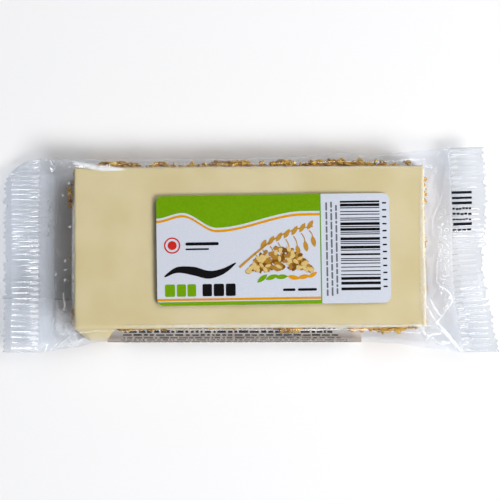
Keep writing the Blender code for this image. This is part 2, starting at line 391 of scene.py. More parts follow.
# Set yogurt coating: fat and sugar with milk powder, so it is opaque, cream and softly satin, and
# the light goes a little way into it. Slightly cloudy where it was poured thicker.
yogurt = grained("set_yogurt_coating", ((15, 2.0), (0.9, 2.0)), ((0.35, "DAC792"), (0.65, "E1D0A1")),
                 bump=(0.03, 0.4), Roughness=0.42, IOR=1.45, Subsurface_Weight=0.12,
                 Subsurface_Radius=(1.0 * MM, 0.7 * MM, 0.4 * MM), Subsurface_Scale=1.0)
finish_piece(coating, "yogurt_coating", yogurt)


# Film wrapper
# Clear polypropylene film, drawn off a roll round the bar, sealed along its back and crimped and
# cut at each end by toothed jaws. It is loose, so it bellies out at the sides, dents over the ends
# and folds at the corners. The two sheets are one tube here, which closes at the cut edges.
FILM_TOP = FILM_BOTTOM + BAR_HEIGHT + 0.15
DOME_RISE = 1.6
FLAT_TOP = BAR_WIDTH / 2 + 0.3
BAR_END = BAR_LENGTH / 2
FRONT_REACH = ((-61, 34.2), (-52, 32.3), (40, 32.2), (50, 32.8), (61, 34.4))
BACK_REACH = ((-61, 31.7), (-10, 31.9), (14, 32.5), (33, 33.7), (41, 33.0), (61, 34.6))
FRONT_BELLY = 5.5
BACK_BELLY = 8.0
FLAT_WIDTH = 73.3
HALF_FLAT = FLAT_WIDTH / 2
CRIMP_PITCH = 1.98
CRIMP_DEPTH = 0.23
SEAL_LENGTH = 12.8
SEAL_MARGIN = 3.0
CUT_TOOTH = 1.25
CUT_ZONE = 1.3
CRIMP_RUN_IN = 0.7
MARGIN_CRIMP = 0.25
LEFT_SEAL_X = -73.2
LEFT_SEAL_Z = 5.0
LEFT_SEAL_FRONT = 36.0
LEFT_SEAL_BACK = 32.2
LEFT_WAVE = 0.5
LEFT_WAVE_PITCH = 56.0
CURL_START = 25.0
CURL = Vector((5.6, -1.6, -3.4))
RIGHT_SEAL_X = 70.6
RIGHT_SEAL_Z = 7.4
RIGHT_SAG = 1.5
RIGHT_SEAL_FRONT = 36.0
RIGHT_SEAL_BACK = 35.9
FRONT_SWING = 4.0
BACK_SWING = -1.0
RIGHT_TIP = 0.16
MIDDLE_TIP = 0.44
TIP_MIDDLE = -7.0
TIP_SPREAD = 16.0
CREASE_PLACE = 0.52
CREASE_FALL = 0.30
BUBBLE_SIZE = 2.8
SHEET_APART = 0.07
FILM_GAP = 0.75
SHEET_SPANS = 222
SEAL_STEPS = 27
RAMP_STEPS = 27
BAR_STEPS = 78

# Folds and creases on the plan of the pack, in millimetres from the bar's middle: the crest's
# points, the half width, the height at the first point and at the last, how far from the crest
# the film is painted white, and how much. The white is partly stress whitening and mostly
# painted highlights where the film catches the light.
FOLDS = (
    # The white glare band over the coating's back left corner is a painted highlight.
    (((-62.3, 29.8), (-55.4, 28.2), (-50.2, 27.5), (-44.2, 27.1)), 1.5, 1.2, 0.2, 1.05, 1.0),
    (((-69.3, 32.5), (-67.9, 29.3)), 1.0, 0.7, 0.4, 0.35, 0.8),
    (((-66.8, 31.6), (-65.0, 28.8)), 1.0, 0.7, 0.4, 0.35, 0.8),
    (((-69.3, 29.1), (-67.5, 24.5), (-66.8, 15.1), (-68.2, 3.0)), 1.2, 0.4, 0.3, 0.3, 0.2),
    (((-68.2, 3.0), (-68.6, -4.0), (-67.5, -14.5), (-66.5, -26.7)), 1.2, 0.3, 0.4, 0.3, 0.15),
    (((-70.2, 17.5), (-69.3, 14.5), (-70.4, 12.0)), 0.8, 0.3, 0.2, 0.3, 0.55),
    (((-70.2, 9.5), (-69.5, 6.5), (-70.6, 4.5)), 0.8, 0.3, 0.2, 0.3, 0.5),
    (((-64.6, -16.0), (-64.2, -21.5)), 0.6, 0.4, 0.3, 0.25, 0.6),
    (((-67.0, -19.0), (-66.2, -25.0), (-68.5, -30.0)), 0.8, 0.4, 0.3, 0.2, 0.35),
    (((-67.2, -34.6), (-63.8, -32.2), (-60.8, -30.4)), 1.3, 0.6, 0.3, 0.5, 0.55),
    (((-63.0, -34.0), (-60.0, -33.2), (-57.0, -31.8)), 1.0, 0.4, 0.3, 0.45, 0.5),
    (((-64.0, -28.6), (-62.2, -30.4)), 0.9, 0.5, 0.3, 0.35, 0.5),
    (((69.4, 30.0), (66.6, 16.3), (64.0, 9.8), (63.7, 5.1), (64.8, 2.1)), 1.6, 0.5, 0.9, 0.25, 0.18),
    (((64.8, 2.1), (66.6, -0.1), (65.4, -4.8), (65.1, -12.4), (66.9, -13.5)), 1.4, 0.9, 0.8, 0.25, 0.35),
    (((66.9, -13.5), (70.3, -16.2), (70.9, -18.5), (66.6, -24.6)), 1.3, 0.8, 1.1, 0.3, 0.65),
    (((62.8, -18.3), (64.4, -21.5), (66.6, -24.6)), 1.0, 0.5, 0.9, 0.45, 0.75),
    (((61.8, -21.0), (63.6, -24.4), (64.8, -26.2)), 1.0, 0.5, 0.9, 0.35, 0.6),
    (((64.8, -26.2), (69.5, -31.0), (73.8, -35.9)), 1.1, 1.2, 0.9, 0.6, 1.0),
    (((66.6, -24.6), (64.2, -27.4)), 1.0, 1.1, 1.1, 0.3, 0.6),
    (((56.8, -27.0), (59.2, -27.8), (61.2, -31.3)), 1.0, 0.5, 0.6, 0.45, 0.9),
    # These six run along the coating's edges and paint highlight lines on the film over them; the seventh
    # paints a broad faint highlight over the front left corner.
    (((60.9, -4.0), (61.2, -16.0), (61.0, -27.4)), 0.8, 0.2, 0.4, 0.35, 0.5),
    (((60.1, 29.0), (60.1, 0.0), (60.1, -29.0)), 0.6, 0.1, 0.1, 0.75, 0.36),
    (((-44.0, -27.7), (4.0, -27.7), (64.0, -27.7)), 0.6, 0.1, 0.1, 0.75, 0.36),
    (((-46.0, 27.9), (4.0, 27.9), (64.0, 27.9)), 0.6, 0.1, 0.1, 0.45, 0.30),
    (((14.0, -28.1), (35.0, -28.3), (57.0, -27.6)), 0.9, 0.2, 0.4, 0.35, 0.4),
    (((-61.2, 22.0), (-61.3, 0.0), (-61.2, -27.0)), 0.6, 0.1, 0.1, 0.35, 0.5),
    (((-67.0, -22.5), (-65.0, -27.0), (-61.3, -32.0)), 0.5, 0.0, 0.0, 4.6, 0.33),
    (((66.4, -30.2), (63.0, -30.6), (61.5, -32.5)), 0.9, 0.6, 0.6, 0.3, 0.7),
    (((71.0, -33.0), (66.5, -33.6), (63.5, -32.2)), 0.9, 0.4, 0.6, 0.25, 0.45),
)
# Pinpoint dents down the left end of the bar, each like a very short fold, with painted white specks for
# small glints.
DENTS = ((-62.7, 28.6), (-62.9, 22.8), (-65.0, 18.6), (-62.5, 7.4), (-64.1, -4.4), (-64.0, -7.6),
         (-67.3, -9.0), (-64.1, -11.2))
FOLDS += tuple((((x, y), (x, y - 0.7)), 0.4, 0.1, 0.1, 0.4, 0.75) for x, y in DENTS)
# How white the bubbles' rings are painted: partly stress whitening of crumpled film, partly painted
# highlights.
BUBBLE_STRESS_AND_GLINT_PAINT = 0.4
# Where along each seal glints are painted on the crimps' inner ends, as (place, how much).
LEFT_GLINT_PAINT = ((-35.0, 1.3), (-24.0, 1.6), (0.0, 0.9), (6.0, 0.3), (34.0, 0.35))
RIGHT_GLINT_PAINT = ((-35.0, 1.4), (-22.0, 1.5), (-15.0, 0.4), (20.0, 0.15), (30.0, 0.6), (35.0, 0.7))


def through(points, x):
    """A smooth curve through given (place, value) points, level at each of them."""
    if x <= points[0][0]:
        return points[0][1]
    for (x0, v0), (x1, v1) in zip(points, points[1:]):
        if x <= x1:
            return v0 + (v1 - v0) * (1 - math.cos(math.pi * (x - x0) / (x1 - x0))) / 2
    return points[-1][1]


def film_top(x, y):
    """Height of the film over the bar: it touches the coating's edges and bows up between them."""
    along = min(1.0, abs(x) / BAR_END)
    across = min(1.0, abs(y) / FLAT_TOP)
    return FILM_TOP + DOME_RISE * (1 - along**4) * (1 - across**4)


def over_bar(x, s, top):
    """The film round the bar. s runs across one flattened sheet, from its front edge to its back."""
    if abs(s) <= FLAT_TOP:
        return Vector((x, s, film_top(x, s) if top else FILM_BOTTOM))
    turn = (abs(s) - FLAT_TOP) / (HALF_FLAT - FLAT_TOP) * math.pi / 2
    reach = through(FRONT_REACH if s < 0 else BACK_REACH, x)
    belly = FRONT_BELLY if s < 0 else BACK_BELLY
    rim = FILM_TOP if top else FILM_BOTTOM
    y = FLAT_TOP + (reach - FLAT_TOP) * math.sin(turn)
    return Vector((x, math.copysign(y, s), belly + (rim - belly) * math.cos(turn)))


def left_seal(out, s):
    """The middle of the left seal, at a distance out from its inner line."""
    share = max(0.0, out / SEAL_LENGTH)
    y = s / HALF_FLAT * (LEFT_SEAL_FRONT if s < 0 else LEFT_SEAL_BACK)
    wave = LEFT_WAVE * math.sin(math.tau * s / LEFT_WAVE_PITCH) * share
    curl = max(0.0, (s - CURL_START) / (HALF_FLAT - CURL_START)) ** 2 * share**1.5
    return Vector((LEFT_SEAL_X - out, y, LEFT_SEAL_Z + wave)) + curl * CURL


def right_seal(out, s):
    """The middle of the right seal, at a distance out from its inner line."""
    swing = (FRONT_SWING if s < 0 else BACK_SWING) * (s / HALF_FLAT) ** 2
    tip = RIGHT_TIP + MIDDLE_TIP * math.exp(-(((s - TIP_MIDDLE) / TIP_SPREAD) ** 2))
    y = s / HALF_FLAT * (RIGHT_SEAL_FRONT if s < 0 else RIGHT_SEAL_BACK)
    sag = RIGHT_SAG * (s / HALF_FLAT) ** 2
    return Vector((RIGHT_SEAL_X + swing + out * math.cos(tip), y, RIGHT_SEAL_Z - sag + out * math.sin(tip)))


def on_seal(side, out, s, top):
    """A point of one sheet on a seal, crimped and with its toothed edge."""
    phase = -math.cos(math.tau * (s + HALF_FLAT) / CRIMP_PITCH)
    edge = smooth((out - SEAL_LENGTH + CUT_ZONE) / CUT_ZONE)
    worn = 0.45 + 0.3 * phase + 1.1 * noise.noise(Vector((s / 2.3, side * 9, 1)))
    place = (left_seal if side < 0 else right_seal)(out - CUT_TOOTH * edge * worn, s)
    pressed = smooth(out / CRIMP_RUN_IN)
    pressed *= 1 - (1 - MARGIN_CRIMP) * smooth((out - SEAL_LENGTH + SEAL_MARGIN) / CRIMP_RUN_IN)
    uneven = 1.06 - 0.32 * out / SEAL_LENGTH + 0.30 * noise.noise(Vector((s / 4, side * 7, out / 9)))
    if side > 0:
        uneven *= 1 - 0.45 * smooth((s + 24) / 12)
    rim = smooth((HALF_FLAT - abs(s)) / 0.8)
    place.z += CRIMP_DEPTH * pressed * uneven * phase * rim
    place.z += 0.30 * noise.noise(Vector((s / 12, out / 14 + 5, side * 3))) * smooth(out / 3)
    apart = SHEET_APART * rim * smooth((SEAL_LENGTH - out) / 0.5)
    place.z += (0.5 if top else -0.5) * apart
    return place


def crimp_painted_glints(side, out, s):
    """How white the crests of the crimps are painted, as glints: short dashes at their inner ends,
    fine lines beyond, and a painted brightening over part of each seal.
    """
    crest = -math.cos(math.tau * (s + HALF_FLAT) / CRIMP_PITCH)
    strength = through(LEFT_GLINT_PAINT if side < 0 else RIGHT_GLINT_PAINT, s)
    reach = 3.6 + 2.6 * noise.noise(Vector((s / 1.9, side * 4, 8)))
    dash = smooth((crest - 0.15) / 0.6) * smooth((out - 0.15) / 0.4) * smooth((reach - out) / 1.4)
    patchy = 0.7 + 0.9 * noise.noise(Vector((s / 2.1, out / 5, side * 8)))
    # The fine lines are painted glints along the crests, and the last term is a painted brightening over
    # the front of the left seal and the back of the right one.
    line = smooth((crest - 0.5) / 0.4) * smooth((SEAL_LENGTH - SEAL_MARGIN - out) / 0.6)
    line *= 0.3 + 0.15 * smooth((s + 12) / 14) if side < 0 else 0.16
    painted_brightening = 0.2 * smooth((-14 - s) / 8) if side < 0 else 0.3 * smooth((s - 18) / 6)
    return max(0.0, min(1.0, (1.2 * strength * dash + line) * patchy + painted_brightening * smooth(out / 0.8)))


def near_seal(share):
    """1 on the outer half of a ramp, where the film is gathered, easing to 0 at its ends."""
    return smooth((share - 0.42) / 0.15) * smooth((1 - share) / 0.12)


def bubbles(side, share, x, s):
    """Rings of crumpled film between the crease and the right seal, from -1 to 1."""
    reach = smooth(1.5 - abs(s + 1) / 18) if side > 0 else 0.12
    field = noise.noise(Vector((x / BUBBLE_SIZE, s / BUBBLE_SIZE, side * 6)))
    return reach * near_seal(share) * math.cos(15 * field)


def on_ramp(side, share, s, top):
    """A point of one sheet between the bar's end, at share 0, and the seal, at share 1."""
    start = over_bar(side * BAR_END, s, top)
    end = on_seal(side, 0.0, s, top)
    place = start.lerp(end, share)
    if top:
        crest = CREASE_PLACE + 0.16 * noise.noise(Vector((s / 9, side * 5, 0)))
        if share < crest:
            drop = CREASE_FALL * share / crest
        else:
            drop = CREASE_FALL + (1 - CREASE_FALL) * (share - crest) / (1 - crest)
        place.z = start.z + (end.z - start.z) * drop
        wide = 1 - 2 * abs(noise.noise(Vector((place.x / 3.4, s / 6.5, side * 2))))
        small = 1 - 2 * abs(noise.noise(Vector((place.x / 1.7, s / 2.6, side * 4))))
        slack = smooth(3 * share * (1 - share) * 1.4) * (1.0 if side > 0 else smooth((share - 0.3) / 0.3))
        rough, slow = (0.12, 0.16) if side > 0 else (0.06, 0.14)
        place.z += slack * (slow * wide - 0.2) + near_seal(share) * rough * small
        place.z += 0.16 * bubbles(side, share, place.x, s)
    return place


def folds_at(x, y):
    """How far folds lift the top sheet at a place on the plan, and how white it is painted there:
    stress whitening and painted highlights.
    """
    lift, white = 0.0, 0.0
    here = Vector((x, y))
    for points, half_width, first, last, reach, whiteness in FOLDS:
        spans = len(points) - 1
        for n in range(spans):
            start = Vector(points[n])
            run = Vector(points[n + 1]) - start
            t = max(0.0, min(1.0, (here - start).dot(run) / run.length_squared))
            gap = (here - start - run * t).length
            if gap < half_width:
                lift = max(lift, (first + (last - first) * (n + t) / spans) * (1 - gap / half_width))
            along = (n + t) / spans
            wide = reach * (0.35 + 0.65 * math.sin(math.pi * along))
            if gap < wide * 1.5:
                patchy = 0.9 + 0.5 / max(1.0, reach) * noise.noise(Vector((x / 1.4, y / 1.4, 13)))
                white = max(white, whiteness * smooth(1.5 - gap / wide) * patchy)
    return lift, min(1.0, white)


def film_point(station, s, top):
    """A point of one sheet in the pack, for a station such as ("ramp", 1, 0.4), in millimetres."""
    zone, side, value = station
    if zone == "seal":
        return on_seal(side, value, s, top)
    if zone == "ramp":
        return on_ramp(side, value, s, top)
    place = over_bar(value, s, top)
    if abs(s) > FLAT_TOP:
        belly = math.sin((abs(s) - FLAT_TOP) / (HALF_FLAT - FLAT_TOP) * math.pi)
        pucker = 1 - 2 * abs(noise.noise(Vector((value / 6.5, s / 8, 11))))
        place.y -= math.copysign(0.35 * belly * pucker, s)
    return place


def at(point):
    """A point in millimetres from the bar's middle as one in the pack's frame, in metres."""
    return Vector((point.x + BAR_X, point.y + BAR_Y, point.z)) * MM


def press_inside(piece):
    """Flattens the parts of a piece that would stick out through the film at the pack's sides."""
    for vertex in piece.data.vertices:
        x, y, z = vertex.co.x / MM - BAR_X, vertex.co.y / MM - BAR_Y, vertex.co.z / MM
        reach = through(FRONT_REACH if y < 0 else BACK_REACH, x)
        belly = FRONT_BELLY if y < 0 else BACK_BELLY
        rise = (z - belly) / ((FILM_TOP if z > belly else FILM_BOTTOM) - belly)
        most = FLAT_TOP + (reach - FLAT_TOP) * math.sqrt(max(0.0, 1 - rise * rise)) - FILM_GAP
        if abs(y) > most:
            vertex.co.y = (BAR_Y + math.copysign(most + 0.1 * (abs(y) - most) ** 0.5, y)) * MM


press_inside(slab)
press_inside(flakes)


def stations():
    """The film's rows from the left cut edge to the right one."""
    rows = [("seal", -1, SEAL_LENGTH * (1 - i / SEAL_STEPS)) for i in range(SEAL_STEPS)]
    rows += [("ramp", -1, 1 - i / RAMP_STEPS) for i in range(RAMP_STEPS)]
    shares = [2 * i / BAR_STEPS - 1 for i in range(BAR_STEPS)]
    rows += [("bar", 0, BAR_END * (1.3 * t - 0.3 * t**3)) for t in shares]
    rows += [("ramp", 1, i / RAMP_STEPS) for i in range(RAMP_STEPS)]
    rows += [("seal", 1, SEAL_LENGTH * i / SEAL_STEPS) for i in range(SEAL_STEPS + 1)]
    return rows


def station_of(vertex, rows):
    """The row that a vertex of a flat grid, two units long, stands for."""
    return rows[round((vertex.co.x + 1) / 2 * (len(rows) - 1))]


rows = stations()
film = flat_grid(len(rows) - 1, 2 * SHEET_SPANS)
sealed = film.data.attributes.new("sealed", "FLOAT", "POINT")
stress_white_and_painted_glint = film.data.attributes.new("stress_white_and_painted_glint", "FLOAT", "POINT")
for vertex in film.data.vertices:
    row = station_of(vertex, rows)
    around = round((vertex.co.y + 1) / 2 * 2 * SHEET_SPANS)
    top = around <= SHEET_SPANS
    s = -HALF_FLAT + FLAT_WIDTH * (around if top else 2 * SHEET_SPANS - around) / SHEET_SPANS
    place = film_point(row, s, top)
    # Top-sheet points get a painted whiteness: glints on the crimps, and stress whitening with painted
    # highlights along folds and bubbles.
    if row[0] == "seal":
        margin = smooth((row[2] - SEAL_LENGTH + SEAL_MARGIN) / 0.8)
        tinted = 1.0 if row[1] > 0 else 0.45 + 1.6 * margin
        sealed.data[vertex.index].value = tinted * smooth(row[2] / 0.8)
        if top:
            stress_white_and_painted_glint.data[vertex.index].value = crimp_painted_glints(*row[1:], s)
    elif top:
        lift, white = folds_at(place.x, place.y)
        if row[0] == "ramp":
            white = max(white, BUBBLE_STRESS_AND_GLINT_PAINT * max(0.0, bubbles(*row[1:], place.x, s)) ** 2)
        place.z += lift
        stress_white_and_painted_glint.data[vertex.index].value = white
    vertex.co = at(place)
only(film)
bpy.ops.object.mode_set(mode="EDIT")
bpy.ops.mesh.select_all(action="SELECT")
bpy.ops.mesh.remove_doubles(threshold=0.002 * MM)
bpy.ops.mesh.normals_make_consistent(inside=False)
bpy.ops.object.mode_set(mode="OBJECT")
bpy.ops.object.shade_smooth()


def film_material(name, tint, least, most):
    """Clear film: light passes straight through, and a share that grows with slant is mirrored."""
    material, tree, surface = start_material(name, Roughness=0.11, Metallic=0.7,
                                             Base_Color=linear("F4F7FC"))
    see_through = add_node(tree, "ShaderNodeBsdfTransparent", {"Color": linear(tint)})
    slant = add_node(tree, "ShaderNodeLayerWeight", {"Blend": 0.5}).outputs["Facing"]
    steep = add_node(tree, "ShaderNodeMath", {0: slant, 1: 3.5}, operation="POWER").outputs[0]
    share = add_node(tree, "ShaderNodeMath", {0: steep, 1: most - least, 2: least},
                     operation="MULTIPLY_ADD")
    mix = add_node(tree, "ShaderNodeMixShader",
                   {0: share.outputs[0], 1: see_through.outputs[0], 2: surface.outputs[0]})
    tree.links.new(mix.outputs[0], tree.nodes["Material Output"].inputs["Surface"])
    return material, tree, surface, see_through, share, mix


# Cast polypropylene film, 35 micrometres: water clear face on, slightly blue-grey where the jaws
# fused two sheets, and mirror-like at a slant. Along its sharpest creases and the crests of its
# crimps it is painted white: partly stress whitening, mostly painted highlights and glints.
clear_film, tree, surface, see_through, share, mix = film_material(
    "clear_polypropylene_film", "FAFCFF", 0.055, 0.70)
fused = add_node(tree, "ShaderNodeAttribute", attribute_name="sealed").outputs["Fac"]
tint = add_node(tree, "ShaderNodeMix", {0: fused, 6: linear("FAFCFF"), 7: linear("F2F4F7")},
                data_type="RGBA")
tree.links.new(tint.outputs[2], see_through.inputs["Color"])
# The film turns opaque and less mirror-like where it is painted white: stress whitening, and painted
# highlights and glints.
stress_and_glint_mask = add_node(tree, "ShaderNodeAttribute", attribute_name="stress_white_and_painted_glint").outputs["Fac"]
opaque = add_node(tree, "ShaderNodeMath", {0: stress_and_glint_mask, 1: 0.8, 2: share.outputs[0]},
                  operation="MULTIPLY_ADD")
opaque.use_clamp = True
tree.links.new(opaque.outputs[0], mix.inputs[0])
mirror = add_node(tree, "ShaderNodeMath", {0: stress_and_glint_mask, 1: -2.1, 2: 0.7}, operation="MULTIPLY_ADD")
mirror.use_clamp = True
tree.links.new(mirror.outputs[0], surface.inputs["Metallic"])
finish_piece(film, "clear_film", clear_film)
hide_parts("film_wrapper")


# Back seam
# The film's two long edges, sealed inside to inside and folded flat against the underside. It runs
# from end to end off the middle, under the label, and shows as a fine line through the left end.
SEAM_EDGES = (-17.2, -8.2)
SEAM_SPANS = 10
SEAM_DROP = 0.12
SEAM_THICKNESS = 0.06
SEAM_SHORT = 0.4
CUT_LINE = 0.08
CUT_LINE_DROP = 0.17
CUT_LINE_THICKNESS = 0.05
CUT_LINE_SHORT = 0.5


def strip_below(rows, spans, edges, drop, thickness, short):
    """A strip under the lower sheet, between two lines of it, that stops short of the cut edges."""
    strip = flat_grid(len(rows) - 1, spans)
    for vertex in strip.data.vertices:
        zone, side, value = station_of(vertex, rows)
        if zone == "seal":
            value = min(value, SEAL_LENGTH - short)
        s = edges[0] + (edges[1] - edges[0]) * (vertex.co.y + 1) / 2
        place = film_point((zone, side, value), s, False)
        place.z -= drop
        vertex.co = at(place)
    thicken(strip, thickness)
    bpy.ops.object.shade_smooth()
    return strip


seam = strip_below(rows, SEAM_SPANS, SEAM_EDGES, SEAM_DROP, SEAM_THICKNESS, SEAM_SHORT)

# The same film, doubled and pressed together with no air in it, so that it hardly shows.
seam_film = film_material("fused_polypropylene_film", "FFFFFF", 0.004, 0.3)[0]
finish_piece(seam, "back_seam", seam_film)

line_rows = [row for row in rows if row[0] == "bar" or row[1] < 0]
line_edges = (SEAM_EDGES[0] + CUT_LINE, SEAM_EDGES[0] - CUT_LINE)
seam_edge = strip_below(line_rows, 2, line_edges, CUT_LINE_DROP, CUT_LINE_THICKNESS, CUT_LINE_SHORT)

# The cut edge of that doubled film, which scatters light and so shows as a fine grey line.
cut_film = film_material("cut_polypropylene_edge", "D2D5DA", 0.10, 0.6)[0]
finish_piece(seam_edge, "back_seam_edge", cut_film)


# Front label paper
# Machine-coated white label paper with round corners, stuck on the film over the coating while the
# film was flat. The film bows up under it, so it floats over the coating and throws a soft shadow.
LABEL_SIZE = (81.1, 38.4)
LABEL_TURN = math.radians(0.9)
LABEL_CORNER = 2.2
PAPER_LIFT = 0.22
PAPER_THICKNESS = 0.11
INK_LIFT = 0.03
PAPER_EDGE = math.radians(40)


def on_label(p, q, lift):
    """A point of the label, from p along and q down from its top left corner, lifted off the film."""
    right, up = p - LABEL_SIZE[0] / 2, LABEL_SIZE[1] / 2 - q
    x = LABEL_FROM_BAR.x + math.cos(LABEL_TURN) * right - math.sin(LABEL_TURN) * up
    y = LABEL_FROM_BAR.y + math.sin(LABEL_TURN) * right + math.cos(LABEL_TURN) * up
    return at(Vector((x, y, film_top(x, y) + lift)))


def rounded(p, q):
    """Draws a point that lies outside the label's round corners in to their edge."""
    middle_p = max(LABEL_CORNER, min(LABEL_SIZE[0] - LABEL_CORNER, p))
    middle_q = max(LABEL_CORNER, min(LABEL_SIZE[1] - LABEL_CORNER, q))
    away = Vector((p - middle_p, q - middle_q))
    if away.length > LABEL_CORNER:
        away *= LABEL_CORNER / away.length
    return middle_p + away.x, middle_q + away.y


def sized(field, p, q, width, height):
    """Stretches a field of one unit to its size, with its top left corner at p, q."""
    for vertex in field.data.vertices:
        vertex.co = Vector((p + (vertex.co.x + 0.5) * width, q + (0.5 - vertex.co.y) * height, 0))
    return field


def patch(p, q, width, height, cell=2.5):
    """A flat field with its top left corner at p, q, in cells small enough to follow the label."""
    counts = [max(1, math.ceil(width / cell)), max(1, math.ceil(height / cell))]
    return sized(flat_grid(*counts, size=1), p, q, width, height)


def lay(fields, place, thickness):
    """Joins flat fields, puts each point where place says, and gives them a thickness."""
    only(fields[0])
    for field in fields:
        field.select_set(True)
    if len(fields) > 1:
        bpy.ops.object.join()
    joined = bpy.context.object
    for vertex in joined.data.vertices:
        vertex.co = place(vertex.co.x, vertex.co.y) + Vector((0, 0, vertex.co.z * MM))
    thicken(joined, thickness)
    return joined


paper_sheet = patch(0, 0, *LABEL_SIZE, cell=0.8)
label_paper = lay([paper_sheet], lambda p, q: on_label(*rounded(p, q), PAPER_LIFT), PAPER_THICKNESS)
bpy.ops.object.shade_smooth_by_angle(angle=PAPER_EDGE)

# Coated label paper: clay-filled and calendered, so it is bright, faintly blue and low in gloss.
paper = grained("coated_label_paper", ((0.6, 4.0),), ((0.3, "C7CCD8"), (0.7, "CED3DF")),
                bump=(0.01, 0.3), Roughness=0.38, IOR=1.5)
finish_piece(label_paper, "front_label_paper", paper)
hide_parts("front_label")


# Front label print
# Flat inks laid one on another: a green head with a waved lower edge, orange rules, a green foot, an
# oat panicle over a heap of flakes, a red seal and a striped block. Plain bars stand where lines of
# words would be.
PANEL_WIDTH = 56.8
FOOT_HEIGHT = 1.25
RULE_WIDTH = 0.42
HEAD_HEIGHT = 6.0
WAVE_DEPTH = 5.4
INK_DEPTH = 0.02


def print_ink(name, colour):
    """Offset ink on coated paper: an even film with a slight mottle and hardly any gloss."""
    darker = "".join(f"{round(int(colour[i:i + 2], 16) * 0.95):02X}" for i in (0, 2, 4))
    return grained(name, ((0.8, 2.0),), ((0.35, darker), (0.65, colour)),
                   Roughness=0.6, IOR=1.5, Specular_IOR_Level=0.05)


def wave(p):
    """How far the head's lower edge hangs down at p: a long slope to the right, a short one to the left."""
    if p < 9.0:
        return WAVE_DEPTH * 0.35 * smooth((9.0 - p) / 9.0)
    if p < 21.0:
        return WAVE_DEPTH * smooth((p - 9.0) / 12.0)
    return WAVE_DEPTH * (1 - smooth((p - 21.0) / 30.0))


def hang(field, rigid):
    """Lets a field follow the wave: a rigid one moves as a whole, and another only at its lower edge."""
    for vertex in field.data.vertices:
        vertex.co.y += wave(vertex.co.x) * (1 if rigid else vertex.co.y / HEAD_HEIGHT)
    return field


def dash(p, q, width, height, corner=None):
    """A bar with round corners, from its top left corner."""
    radius = height / 2 if corner is None else corner
    only()
    bpy.ops.mesh.primitive_plane_add(size=1)
    field = sized(bpy.context.object, p, q, width, height)
    bpy.ops.object.mode_set(mode="EDIT")
    bpy.ops.mesh.select_all(action="SELECT")
    bpy.ops.mesh.bevel(offset=min(radius, width / 2) * 0.999, segments=3, affect="VERTICES")
    bpy.ops.object.mode_set(mode="OBJECT")
    return field


def stroke(points, widths, steps=22):
    """A pen stroke through points, as wide as widths say along it, tapering between them."""
    field = flat_grid(steps, 1, size=1)
    spans = len(points) - 1
    for vertex in field.data.vertices:
        t = (vertex.co.x + 0.5) * spans
        k = min(spans - 1, int(t))
        f = t - k
        before, after = Vector(points[max(0, k - 1)]), Vector(points[min(spans, k + 2)])
        here, there = Vector(points[k]), Vector(points[k + 1])
        leave, arrive = (there - before) / 2, (after - here) / 2
        middle = (here * (2 * f**3 - 3 * f**2 + 1) + leave * (f**3 - 2 * f**2 + f)
                  + there * (3 * f**2 - 2 * f**3) + arrive * (f**3 - f**2))
        heading = (here * (6 * f**2 - 6 * f) + leave * (3 * f**2 - 4 * f + 1)
                   + there * (6 * f - 6 * f**2) + arrive * (3 * f**2 - 2 * f)).normalized()
        width = widths[k] + (widths[k + 1] - widths[k]) * f
        across = Vector((-heading.y, heading.x)) * vertex.co.y * width
        vertex.co = Vector((*(middle + across), 0))
    return field


def grain(p, q, length, width, turn, point=0.5):
    """One grain or flake, its middle at p, q and turned by degrees. point draws its ends in."""
    only()
    bpy.ops.mesh.primitive_circle_add(vertices=12, radius=0.5, fill_type="NGON")
    field = bpy.context.object
    spin = Matrix.Rotation(math.radians(turn), 3, "Z")
    for vertex in field.data.vertices:
        taper = 1 - point * abs(vertex.co.x * 2) ** 3
        outline = Vector((vertex.co.x * length, vertex.co.y * width * taper, 0))
        vertex.co = spin @ outline + Vector((p, q, 0))
    return field


def on_paper(layer, corners):
    """Where ink lies: layer 1 is on the paper and the next ones are on other ink."""
    def place(p, q):
        p, q = rounded(p, q) if corners else (p, q)
        return on_label(p, q, PAPER_LIFT + INK_LIFT * layer)
    return place


def print_marks(shade, colour, marks, layer=1, corners=False):
    """Lays marks on the label in one ink."""
    inked = lay(marks, on_paper(layer, corners), INK_DEPTH)
    finish_piece(inked, f"{shade}_print", print_ink(f"{shade}_label_ink", colour))


draw = random.Random(7)

head = hang(patch(0, 0, PANEL_WIDTH, HEAD_HEIGHT, cell=0.8), False)
foot = patch(0, LABEL_SIZE[1] - FOOT_HEIGHT, PANEL_WIDTH, FOOT_HEIGHT, cell=0.8)
rule = patch(PANEL_WIDTH, 0.0, RULE_WIDTH, LABEL_SIZE[1], cell=2.0)
block = [dash(p, 31.0, width, 4.3, 0.5) for p, width in ((2.7, 3.5), (6.8, 3.2), (10.5, 3.0))]
leaves = [grain(36.5, 29.4, 4.6, 1.7, -38, 0.8), grain(39.8, 29.0, 4.6, 1.7, -20, 0.8),
          grain(43.2, 28.9, 4.6, 1.7, -4, 0.8)]
print_marks("green", "6E9E00", [head, foot, rule] + block + leaves, corners=True)

under_head = hang(patch(0, HEAD_HEIGHT + 0.75, PANEL_WIDTH, 0.85, cell=0.8), True)
over_foot = patch(0, 36.0, PANEL_WIDTH, 0.8, cell=2.0)
more_leaves = [grain(47.4, 29.2, 4.4, 1.6, 12, 0.8), grain(50.9, 29.0, 4.4, 1.6, -10, 0.8),
               grain(54.0, 28.4, 3.6, 1.4, -32, 0.8)]
print_marks("orange", "D89308", [under_head, over_foot] + more_leaves)

around = [math.tau * n / 12 for n in range(13)]
ring = [(5.4 + 2.6 * math.cos(turn), 17.4 + 2.6 * math.sin(turn)) for turn in around]
print_marks("red", "C8271C", [stroke(ring, [0.5] * 13, 48), grain(5.4, 17.4, 3.2, 3.2, 0, 0.0)])

